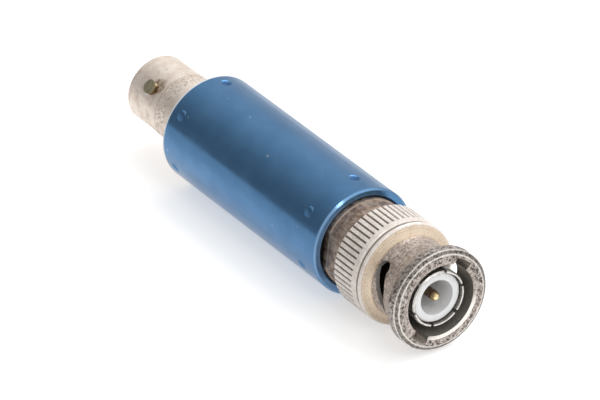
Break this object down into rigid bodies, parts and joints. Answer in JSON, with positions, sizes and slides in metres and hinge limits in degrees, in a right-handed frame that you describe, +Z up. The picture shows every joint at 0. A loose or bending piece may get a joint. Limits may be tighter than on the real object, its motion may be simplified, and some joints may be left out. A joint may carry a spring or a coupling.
{
  "type": "in-line coaxial attenuator",
  "caption": "In-line coaxial attenuator: a round tube with a quarter-turn bayonet plug on one end and a bayonet jack on the other, holding a resistor line.",
  "frame": {"origin": "on the axis, halfway along the body tube", "axes": "+X along the axis towards the plug, +Z up, as the part lies in the picture"},
  "size_m": [0.0685, 0.0152, 0.0153],
  "materials": {
    "blue_anodised": "satin blue anodised, lightly scuffed",
    "tarnished_nickel": "nickel plate, tarnished brown",
    "bright_nickel": "bright nickel plate",
    "white_insulator": "smooth waxy fluoroplastic",
    "gold": "gold plate, a little dull",
    "gasket": "matt silicone",
    "worn_nickel": "nickel plate, worn, pitted and tarnished",
    "spring_steel": "plain spring steel",
    "plain_brass": "plain turned brass",
    "dull_nickel": "nickel plate, dull and speckled",
    "tarnished_brass": "nickel plate, tarnished at the root",
    "ceramic": "fired alumina with a resistive film",
    "resistor": "film-coated ceramic rod"
  },
  "bodies": {
    "attenuator": {"body_tube": "blue_anodised", "plug_body": "tarnished_nickel", "outer_contact": "bright_nickel", "plug_insulator": "white_insulator", "center_pin": "gold", "sealing_gasket": "gasket", "spring_washer": "spring_steel", "jack_body": "dull_nickel", "bayonet_lugs": "tarnished_brass", "jack_insulator": "white_insulator", "center_socket": "gold", "front_sleeve": "plain_brass", "rear_sleeve": "plain_brass", "shunt_disc": "ceramic", "junction_bush": "plain_brass", "front_rod": "resistor", "rear_rod": "resistor", "rod_caps": "bright_nickel"},
    "nut_carrier": {"thrust_washer": "plain_brass"},
    "nut": {"coupling_nut": "worn_nickel", "retaining_ring": "spring_steel"}
  },
  "joints": [
    {"name": "nut_pull", "type": "slide", "parent": "attenuator", "child": "nut_carrier", "axis": [1, 0, 0], "range_m": [0, 0.0006], "stiffness_N_per_m": 8000, "springref_m": -0.0003, "deforming": ["spring_washer"]},
    {"name": "nut_turn", "type": "hinge", "parent": "nut_carrier", "child": "nut", "pos_m": [0.0257, 0, 0], "axis": [1, 0, 0], "continuous": true}
  ]
}
